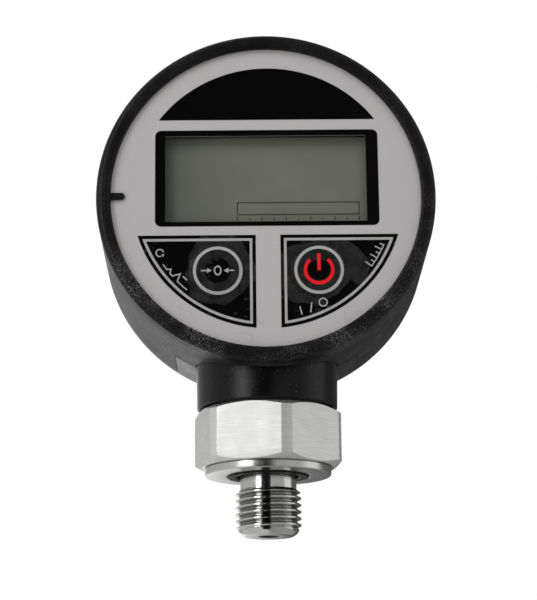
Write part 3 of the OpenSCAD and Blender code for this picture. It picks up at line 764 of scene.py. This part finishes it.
def tongue():
    """The index tongue at nine o'clock on the lip, with a round end."""
    half, tip, root = 0.68, -28.48, -LIP_R - 0.7
    outline = [(root, -half)] + arc((tip, 0), half, 270, 450, 12) + [(root, half)]
    front, bevel = BOOT_FRONT + 0.55, 0.16
    rings = [(LIP_BACK, 0.0), (front + bevel, 0.0), (front, bevel)]
    points, faces = [], []
    for y, inset in rings:
        for x, z in outline:
            points.append((x - (inset if x > tip else 0), y, HEAD_Z + z * (1 - inset / half)))
    count = len(outline)
    for k in range(len(rings) - 1):
        for i in range(count):
            j = (i + 1) % count
            faces.append((k * count + i, k * count + j, (k + 1) * count + j, (k + 1) * count + i))
    faces.append(tuple(range(count)))
    faces.append(tuple(range((len(rings) - 1) * count, len(rings) * count)))
    return points, faces


def cylinder(radius, low, high, count=200):
    section = [(0, low), (radius, low), (radius, high), (0, high)]
    return lathe(even(count), lambda angle: section, closed=False)


def make_boot():
    profile = boot_profile()
    points, faces = lathe(even(320), lambda angle: profile)
    boot = make("boot", about_head(points), faces, BOOT)
    combine(boot, make("index_tongue", *tongue(), BOOT), "UNION")
    combine(boot, make("collar_hole", *cylinder(COLLAR_TOP_R + 0.1, 0, 30), BOOT), "DIFFERENCE")
    notch = block((-SADDLE_HALF - 0.1, 0, 0), (SADDLE_HALF + 0.1, 30, SADDLE_TOP))
    combine(boot, make("saddle_notch", *notch, BOOT), "DIFFERENCE")
    settle(boot, "head", "boot_rubber", "boot")


def collar_section():
    """The collar's tapered wall round the neck, as a solid. The bore is cut later."""
    top = COLLAR_BOTTOM + COLLAR_RISE
    wall = [(COLLAR_BOTTOM_R - 0.25, COLLAR_BOTTOM), (COLLAR_BOTTOM_R, COLLAR_BOTTOM + 0.25)]
    for i in range(1, 13):
        radius = COLLAR_BOTTOM_R + (COLLAR_TOP_R - COLLAR_BOTTOM_R) * i / 12
        wall.append((radius, COLLAR_BOTTOM + COLLAR_RISE * i / 12))
    return [(0, COLLAR_BOTTOM)] + wall + [(0, top)]


def make_collar():
    """The collar round the neck and its saddle, moulded in one."""
    wall = collar_section()
    points, faces = lathe(even(240), lambda angle: wall, closed=False)
    collar = make("neck_collar_skin", points, faces, COLLAR)
    lip_front = BOOT_BACK - REAR_LIP_T
    shell = [(CASE_R - 1, -1)] + boot_wall(-1, BOOT_BACK - 1.2, 14) + back_edge()[:-1]
    shell += [(CASE_R - 1, lip_front)]
    points, faces = lathe(even(320), lambda angle: shell)
    saddle = make("saddle", about_head(points), faces, COLLAR)
    box = block((-SADDLE_HALF, SADDLE_FRONT, 0), (SADDLE_HALF, 30, SADDLE_TOP))
    combine(saddle, make("saddle_box", *box, COLLAR), "INTERSECT")
    combine(collar, saddle, "UNION")
    points, faces = cylinder(CASE_R + 0.1, -40, lip_front, 320)
    combine(collar, make("case_space", about_head(points), faces, COLLAR), "DIFFERENCE")
    combine(collar, make("neck_bore", *cylinder(COLLAR_BORE_R, 0, 40), COLLAR), "DIFFERENCE")
    settle(collar, "head", "collar_rubber", "neck_collar")


# ------------------------------------------------------------------ printed face

def flat_print(name, shapes, front, look, slot="label_film", body="head", thick=0.035):
    """Flat pieces of print. A shape is an outline and its holes, as (x, height over the head's centre)."""
    points, faces = [], []
    for shape in shapes:
        start = len(points)
        flat = [spot for outline in shape for spot in outline]
        count = len(flat)
        points += [(x, front, HEAD_Z + z) for x, z in flat]
        points += [(x, front + thick, HEAD_Z + z) for x, z in flat]
        for tri in tessellate_polygon([[Vector((x, z, 0)) for x, z in outline] for outline in shape]):
            faces.append(tuple(start + i for i in tri))
            faces.append(tuple(start + count + i for i in reversed(tri)))
        first = start
        for outline in shape:
            n = len(outline)
            for i in range(n):
                j = (i + 1) % n
                faces.append((first + i, first + j, first + count + j, first + count + i))
            first += n
    settle(make(name, points, faces, look, sharp=30), body, slot)


def rounded_rect(centre, w, h, r):
    x, z = w / 2 - r, h / 2 - r
    spots = []
    for k, (sx, sz) in enumerate(((1, 1), (-1, 1), (-1, -1), (1, -1))):
        spots += arc((centre[0] + sx * x, centre[1] + sz * z), r, 90 * k, 90 * k + 90, 6)
    return spots


def rect(low, high):
    return [(low[0], low[1]), (high[0], low[1]), (high[0], high[1]), (low[0], high[1])]


def ring_shape(centre, outer, inner, steps=72):
    last = 360 - 360 / steps
    return [arc(centre, radius, 0, last, steps - 1) for radius in (outer, inner)]


def stroke(spots, width):
    """The outline of a line of some width through the spots."""
    left, right = [], []
    for i, spot in enumerate(spots):
        before = Vector(spots[max(i - 1, 0)])
        after = Vector(spots[min(i + 1, len(spots) - 1)])
        here = Vector(spot)
        a = (here - before).normalized() if i > 0 else (after - here).normalized()
        b = (after - here).normalized() if i < len(spots) - 1 else a
        across = Vector((-(a + b).y, (a + b).x)).normalized()
        reach_out = width / 2 / max(0.35, across.dot(Vector((-a.y, a.x))))
        left.append(tuple(here + across * reach_out))
        right.append(tuple(here - across * reach_out))
    return [left + right[::-1]]


def key_field(side, inset):
    """Outline of the printed field round a key: a level top, an upright inner edge and an arc."""
    radius, top = FIELD_R - inset, -8.0 - inset
    inner = 2.42 + inset
    low = math.degrees(math.asin(-top / radius))
    high = math.degrees(math.acos(inner / radius))
    spots = [(side * inner, top)] + [(side * x, -z) for x, z in arc((0, 0), radius, low, high, 40)]
    return [(GRAPHICS_X + x, z) for x, z in spots]


def on_arc(spots, angle):
    """Bends a small sign, drawn level as (along, up), onto the arc of the key fields."""
    bent = []
    for along, up in spots:
        c, s = turn(angle + math.degrees(along / SIGN_R))
        bent.append((GRAPHICS_X + (SIGN_R - up) * c, (SIGN_R - up) * s))
    return bent


def signs():
    """Plain signs in place of words: an arrow and a pulse, a bar, a slash and a ring, and a small scale."""
    arrow_at, pulse_at, bar_at, slash_at, ring_at, scale_at = 208.5, 222.5, 285, 290, 296, 330

    def line(spots, angle):
        return [on_arc(stroke(spots, SIGN_LINE)[0], angle)]

    pulse = [(-3.6, -0.65), (-2.4, -0.65), (-1.9, 0.05), (-1.4, -0.65)]
    pulse += [(-0.7, -0.65), (0, 0.8), (0.7, -0.65)]
    pulse += [(0.7 + 0.5 * k, -0.65) for k in range(1, 6)]
    made = [line(arc((0, 0), 0.72, 70, 350, 24), arrow_at)]
    made.append([on_arc([(0.38, 0.12), (1.06, 0.12), (0.72, 0.7)], arrow_at)])
    made.append(line(pulse, pulse_at))
    made.append(line([(0.75, 0.82), (1.35, 0.82), (1.95, 0.82)], pulse_at))
    made.append(line([(0, -0.85), (0, 0.85)], bar_at))
    made.append(line([(-0.45, -0.9), (0.45, 0.9)], slash_at))
    made.append([on_arc(outline, ring_at) for outline in ring_shape((0, 0), 0.9, 0.65, 36)])
    made.append(line([(-2.5 + 0.5 * k, -0.72) for k in range(11)], scale_at))
    for k in range(6):
        along = -2.375 + 0.95 * k
        made.append(line([(along, -0.6), (along, 0.8 if k % 2 == 0 else 0.1)], scale_at))
    return made


def power_sign(centre):
    """The standard sign for on and off."""
    x, z = centre
    open_ring = arc(centre, 2.66, 90 + 40, 450 - 40, 48)
    return [stroke(open_ring, RED_LINE), stroke([(x, z - 0.1), (x, z + 3.3)], RED_LINE + 0.02)]


def zero_sign(centre):
    """A nought between two arrows."""
    x, z = centre
    nought = [[(x + a * 0.75, z + b) for a, b in arc((0, 0), 1.0, 0, 350, 35)],
              [(x + a * 0.72, z + b) for a, b in arc((0, 0), 0.68, 0, 350, 35)]]
    made = [nought]
    for side in (-1, 1):
        made.append(stroke([(x + side * 3.25, z), (x + side * 2.05, z)], SIGN_LINE + 0.01))
        tip = [(x + side * 1.15, z), (x + side * 2.1, z + 0.5), (x + side * 2.1, z - 0.5)]
        made.append([tip])
    return made


def make_print():
    """The black print, with the display's window and the keys' holes in it, and the grey print over it."""
    black_front, grey_front = LABEL_FRONT - 0.03, LABEL_FRONT - 0.05
    cap_r, cap_low = 26.65, 15.8
    half = math.degrees(math.acos(cap_low / cap_r))
    cap = [(GRAPHICS_X + x, z) for x, z in arc((0, 0), cap_r, 90 - half, 90 + half, 64)]
    low, high = WINDOW_RISE - WINDOW_H / 2, WINDOW_RISE + WINDOW_H / 2
    window = rect((-WINDOW_W / 2, low), (WINDOW_W / 2, high))
    border = rounded_rect((GRAPHICS_X - 0.1, 3.74), 44.16, 19.82, 1.2)
    holes = {side: arc((side * KEY_X, KEY_Z - HEAD_Z), KEY_R + 0.1, 0, 355, 71) for side in (-1, 1)}
    black = [[cap], [border, window]] + [[key_field(side, 0), holes[side]] for side in (-1, 1)]
    flat_print("black_print", black, black_front, BLACK_INK)
    grey_lines = [[key_field(side, 0.68), key_field(side, 1.2)] for side in (-1, 1)]
    flat_print("grey_print", grey_lines + signs(), grey_front, GREY_INK)


def key_section(angle):
    """An embossed key: its film rises from the label in a soft step, and its middle is level."""
    front = LABEL_FRONT - 0.2
    back = reach("key_zero", Y, LOW) + 1.05
    return [(0, back), (KEY_R, back), (KEY_R, LABEL_FRONT + 0.1), (KEY_R - 0.02, LABEL_FRONT - 0.03),
            (KEY_R - 0.15, LABEL_FRONT - 0.06), (5.0, LABEL_FRONT - 0.09), (4.75, LABEL_FRONT - 0.14),
            (4.5, LABEL_FRONT - 0.18), (4.25, front + 0.003), (4.05, front), (2.4, front), (0, front)]


def make_key_ring(name, centre_x, film):
    """The printed ring, which lies on the step of the key's film."""
    def film_front(radius):
        rows = sorted(film[3:])
        for (r0, y0), (r1, y1) in zip(rows, rows[1:]):
            if r0 <= radius <= r1:
                return y0 + (y1 - y0) * (radius - r0) / (r1 - r0)
        return rows[-1][1]

    inner, outer = KEY_RING
    radii = [inner + (outer - inner) * k / 4 for k in range(5)]

    def section(angle):
        c, s = turn(angle)
        front = [(r, film_front(math.hypot(r * c + GRAPHICS_X, r * s)) - 0.02) for r in radii]
        return front + [(r, y + 0.03) for r, y in reversed(front)]

    points, faces = lathe(even(120), section)
    return make(name, about_head(points, centre_x, KEY_Z), faces, GREY_INK, sharp=40)


def make_key(name, side, sign, sign_look, body):
    """A key's film, its ring and its sign, which all move with the key's body."""
    centre_x = side * KEY_X
    points, faces = lathe(even(120), key_section, closed=False)
    key = make(name, about_head(points, centre_x, KEY_Z), faces, BLACK_INK, sharp=40)
    settle(key, body, "key_film", body)
    middle = (centre_x + GRAPHICS_X, KEY_Z - HEAD_Z)
    ring = make_key_ring(name + "_ring", middle[0], key_section(0))
    settle(ring, body, "key_film")
    flat_print(name + "_sign", sign(middle), LABEL_FRONT - 0.225, sign_look, "key_film", body)


def make_display():
    """The bar graph's outline and its scale, as printed segments on the display cell."""
    front = reach("lcd_polarizers", Y, LOW) - 0.012
    low, high = (-5.75, -3.36), (18.55, -0.66)
    line = 0.22
    shapes = [[rect(low, high), rect((low[0] + line, low[1] + line), (high[0] - line, high[1] - line))]]
    for k in range(11):
        x = low[0] + line / 2 + (high[0] - low[0] - line) * k / 10
        top = -3.66 if k % 2 == 0 else -4.0
        shapes.append([rect((x - 0.1, -4.5), (x + 0.1, top))])
    flat_print("display_segments", shapes, front, SEGMENTS, "display_film", thick=0.01)


# ------------------------------------------------------------------ eased CAD pieces

def eased(node, width, look, slot):
    """A copy of one of the head's CAD meshes with its edges rounded, which then stands for the node."""
    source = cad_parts[node]
    obj = bpy.data.objects.new(node + "_eased", source.data.copy())
    bpy.context.scene.collection.objects.link(obj)
    obj.data.materials.clear()
    obj.data.materials.append(look)
    bm = bmesh.new()
    bm.from_mesh(obj.data)
    bmesh.ops.remove_doubles(bm, verts=bm.verts, dist=1e-6)
    bmesh.ops.dissolve_limit(bm, angle_limit=math.radians(1), verts=bm.verts, edges=bm.edges)
    bm.to_mesh(obj.data)
    bm.free()
    for name in [a.name for a in obj.data.attributes if a.name == "custom_normal"]:
        obj.data.attributes.remove(obj.data.attributes[name])
    soften(obj, width)
    settle(obj, "head", slot, node)


# ------------------------------------------------------------------ studio

def make_camera():
    """The photograph's view: from below the stem's end, looking up at the display."""
    yaw, pitch, roll = (math.radians(a) for a in (0.777, 13.943, -0.673))
    ahead = Vector((math.sin(yaw) * math.cos(pitch), math.cos(yaw) * math.cos(pitch), math.sin(pitch)))
    level = Vector((math.cos(yaw), -math.sin(yaw), 0))
    up = level.cross(ahead)
    right = math.cos(roll) * level + math.sin(roll) * up
    above = -math.sin(roll) * level + math.cos(roll) * up
    data = bpy.data.cameras.new("camera")
    data.lens, data.sensor_width = 115.65, 36
    data.clip_start, data.clip_end = 0.01, 20
    camera = bpy.data.objects.new("camera", data)
    axes = Matrix((right, above, -ahead)).transposed().to_4x4()
    camera.matrix_world = Matrix.Translation(Vector((-4.687, -382.241, -58.544)) * MM) @ axes
    bpy.context.scene.collection.objects.link(camera)
    bpy.context.scene.camera = camera


def softbox(name, azimuth, elevation, distance, size, power, mirrored=True):
    """An area light that faces the head. Azimuth 0 is in front of the display and 90 to its right."""
    data = bpy.data.lights.new(name, "AREA")
    data.shape, data.size, data.size_y, data.energy = "RECTANGLE", size[0], size[1], power
    light = bpy.data.objects.new(name, data)
    c, s = turn(azimuth)
    ce, se = turn(elevation)
    out = Vector((s * ce, -c * ce, se))
    light.location = Vector((0, 0, 40 * MM)) + out * distance
    light.rotation_mode = "QUATERNION"
    light.rotation_quaternion = out.to_track_quat("Z", "Y")
    light.visible_camera = False
    light.visible_glossy = mirrored
    bpy.context.scene.collection.objects.link(light)


def make_world():
    """A white studio. What the metal mirrors is greyer, and dark where the camera and its stand are."""
    world = bpy.data.worlds.new("studio")
    bpy.context.scene.world = world
    world.use_nodes = True
    world.node_tree.nodes.clear()
    sky = Nodes(world.node_tree)

    def band(value, low, high, soft):
        """1 where a value lies between two limits, falling to 0 over a soft edge outside them."""
        sides = []
        for start, end in ((low - soft, low), (high + soft, high)):
            ramp = sky.node("ShaderNodeMapRange", clamp=True, interpolation_type="SMOOTHSTEP")
            sky.put(ramp, {"Value": value, "From Min": start, "From Max": end})
            sides.append(ramp.outputs["Result"])
        return sky.math("MULTIPLY", *sides)

    def mix(share, first, second):
        made = sky.node("ShaderNodeMix", data_type="FLOAT")
        sky.put(made, {0: share, 2: first, 3: second})
        return made.outputs[0]

    def degrees(radians):
        return sky.math("MULTIPLY", radians, 180 / math.pi)

    axes = sky.node("ShaderNodeSeparateXYZ")
    sky.put(axes, {0: sky.node("ShaderNodeTexCoord").outputs["Generated"]})
    right, back, up = axes.outputs
    round_about = degrees(sky.math("ARCTAN2", right, sky.math("MULTIPLY", back, -1.0)))
    height = degrees(sky.math("ARCSINE", up))
    rightness = sky.math("ADD", sky.math("MULTIPLY", right, 12.0), 0.6)
    rightness = sky.math("MINIMUM", sky.math("MAXIMUM", rightness, 0.0), 1.0)
    tone = mix(rightness, mix(band(right, -0.32, 1, 0.12), 0.5, 1.15), 0.13)
    for start, end, soft, level in ((-120, 98, 12, 0.58), (15, 100, 8, 0.48), (76, 98, 14, 0.95)):
        tone = mix(band(round_about, start, end, soft), tone, level)
    tone = mix(band(height, -90, -32, 12), tone, mix(rightness, 0.66, 0.36))
    bright = sky.math("MULTIPLY", band(round_about, -49, -31, 3), band(height, -4, 40, 8))
    dark = sky.math("MULTIPLY", band(round_about, -27, 7, 3), band(height, -60, 70, 10))
    tone = mix(dark, mix(bright, tone, 2.2), 0.006)
    seen = sky.node("ShaderNodeLightPath").outputs["Is Camera Ray"]
    light = sky.node("ShaderNodeBackground")
    sky.put(light, {"Color": (1, 1, 1, 1), "Strength": mix(seen, tone, 1.0)})
    sky.put(sky.node("ShaderNodeOutputWorld"), {"Surface": light.outputs[0]})


def make_floor():
    """A plain pale floor, well below the gauge and out of the photograph's view."""
    half, level = 1500, -100
    look = Look("floor", grey(0.8), 0.7)
    tone = look.noise(look.spread(0.004), 2.0)
    look.colour(look.blend(tone, grey(0.78), grey(0.84)))
    points = [(-half, -half, level), (half, -half, level), (half, half, level), (-half, half, level)]
    floor = make("floor", points, [(0, 1, 2, 3)], look.material)
    floor.visible_glossy = False


def make_studio():
    make_world()
    make_floor()
    softbox("key_softbox", -41, 16, 0.9, (0.28, 0.9), 1.6)
    softbox("top_softbox", 5, 45, 0.9, (0.9, 0.5), 3.2, False)
    softbox("left_softbox", -85, 5, 1.3, (0.9, 0.9), 1.6, False)
    view = bpy.context.scene.view_settings
    view.view_transform, view.look, view.exposure, view.gamma = "Standard", "None", 0, 1


make_camera()
dress_cad_nodes()
make_stem()
make_seal()
make_boot()
make_collar()
make_print()
make_key("key_zero_film", -1, zero_sign, GREY_INK, "key_zero")
make_key("key_power_film", 1, power_sign, RED_INK, "key_power")
make_display()
eased("rear_cover", 0.25, CASE, "case_plastic")
eased("battery_door", 0.25, DOOR, "case_plastic")
eased("rear_screws", 0.12, ZINC, "zinc_screws")
eased("door_screw", 0.12, ZINC, "zinc_screws")
eased("case_body", 0.2, CASE, "case_plastic")
make_studio()
